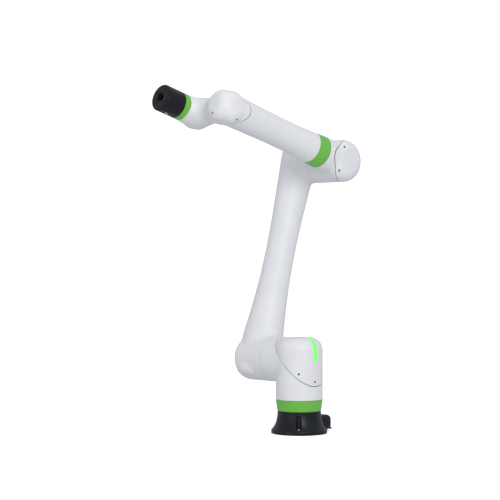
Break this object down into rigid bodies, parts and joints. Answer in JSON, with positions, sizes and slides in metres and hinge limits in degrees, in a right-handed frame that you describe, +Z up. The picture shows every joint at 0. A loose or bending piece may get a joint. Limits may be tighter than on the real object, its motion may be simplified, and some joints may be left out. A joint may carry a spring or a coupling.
{
  "type": "collaborative robot arm",
  "caption": "Jointed floor-standing robot arm with rounded white housings, green joint rings, a black round base and a black tool flange.",
  "frame": {"origin": "centre of the base's underside, on the axis that the whole arm turns about", "axes": "+Z up along the base's turning axis; +X the way the forearm points at rest; +Y from the swinging arm's side towards the shoulder's own side; the connector box is at -X"},
  "size_m": [0.7579, 0.3685, 1.1601],
  "materials": {
    "white_paint": "satin",
    "black_paint": "satin",
    "green_ring": "satin",
    "status_light": "gloss",
    "bolt_steel": "satin",
    "screw_steel": "satin",
    "drive_steel": "satin",
    "shaft_steel": "satin",
    "winding_copper": "satin",
    "drive_aluminium": "satin",
    "plate_aluminium": "satin",
    "cable_jacket": "matte"
  },
  "bodies": {
    "base": {"base_casting": "black_paint", "base_bolt_1": "bolt_steel", "base_bolt_2": "bolt_steel", "base_bolt_3": "bolt_steel", "base_bolt_4": "bolt_steel", "connector_box": "black_paint", "connector_plate": "plate_aluminium", "connector_socket_1": "bolt_steel", "connector_socket_2": "bolt_steel", "connector_lever": "black_paint", "j1_reducer": "drive_steel", "j1_stator": "winding_copper", "j1_rotor": "shaft_steel"},
    "shoulder": {"j1_output": "drive_aluminium", "j1_green_ring": "green_ring", "shoulder_casing": "white_paint", "shoulder_cap": "white_paint", "status_light": "status_light", "shoulder_screw_1": "screw_steel", "shoulder_screw_2": "screw_steel", "j2_reducer": "drive_steel", "j2_stator": "winding_copper", "j2_rotor": "shaft_steel"},
    "upper_arm": {"j2_output": "drive_aluminium", "upper_arm_casing": "white_paint", "upper_arm_lower_cap": "white_paint", "upper_arm_upper_cap": "white_paint", "upper_arm_harness": "cable_jacket", "j3_reducer": "drive_steel", "j3_stator": "winding_copper", "j3_rotor": "shaft_steel"},
    "elbow": {"j3_output": "drive_aluminium", "elbow_casing": "white_paint", "elbow_cap": "white_paint", "elbow_screw_1": "screw_steel", "elbow_screw_2": "screw_steel", "j4_reducer": "drive_steel", "j4_stator": "winding_copper", "j4_rotor": "shaft_steel"},
    "forearm": {"j4_output": "drive_aluminium", "j4_green_ring": "green_ring", "forearm_casing": "white_paint", "forearm_cap": "white_paint", "forearm_screw_1": "screw_steel", "forearm_screw_2": "screw_steel", "forearm_harness": "cable_jacket", "j5_reducer": "drive_steel", "j5_stator": "winding_copper", "j5_rotor": "shaft_steel"},
    "wrist": {"j5_output": "drive_aluminium", "wrist_casing": "white_paint", "wrist_cap": "white_paint", "j6_green_ring": "green_ring", "j6_reducer": "drive_steel", "j6_stator": "winding_copper", "j6_rotor": "shaft_steel"},
    "tool": {"j6_output": "drive_aluminium", "tool_housing": "black_paint", "tool_flange": "black_paint", "tool_port": "bolt_steel"}
  },
  "joints": [
    {"name": "j1_turn", "type": "hinge", "parent": "base", "child": "shoulder", "pos_m": [0, 0, 0.076], "axis": [0, 0, 1], "range_deg": [-190, 190]},
    {"name": "j2_swing", "type": "hinge", "parent": "shoulder", "child": "upper_arm", "pos_m": [0, -0.115, 0.245], "axis": [0, 1, 0], "range_deg": [-164.5, 195.5]},
    {"name": "j3_bend", "type": "hinge", "parent": "upper_arm", "child": "elbow", "pos_m": [-0.18974, -0.085, 0.92918], "axis": [0, 1, 0], "range_deg": [-244, 66]},
    {"name": "j4_roll", "type": "hinge", "parent": "elbow", "child": "forearm", "pos_m": [-0.09482, 0, 0.9573], "axis": [0.9588, 0, 0.284], "range_deg": [-193.7, 186.3]},
    {"name": "j5_bend", "type": "hinge", "parent": "forearm", "child": "wrist", "pos_m": [0.32927, -0.06786, 1.07834], "axis": [-0.0183, 0.9979, 0.0619], "range_deg": [-180, 180]},
    {"name": "j6_turn", "type": "hinge", "parent": "wrist", "child": "tool", "pos_m": [0.41371, -0.14969, 1.09783], "axis": [0.9588, 0, 0.284], "range_deg": [-225, 225]}
  ]
}
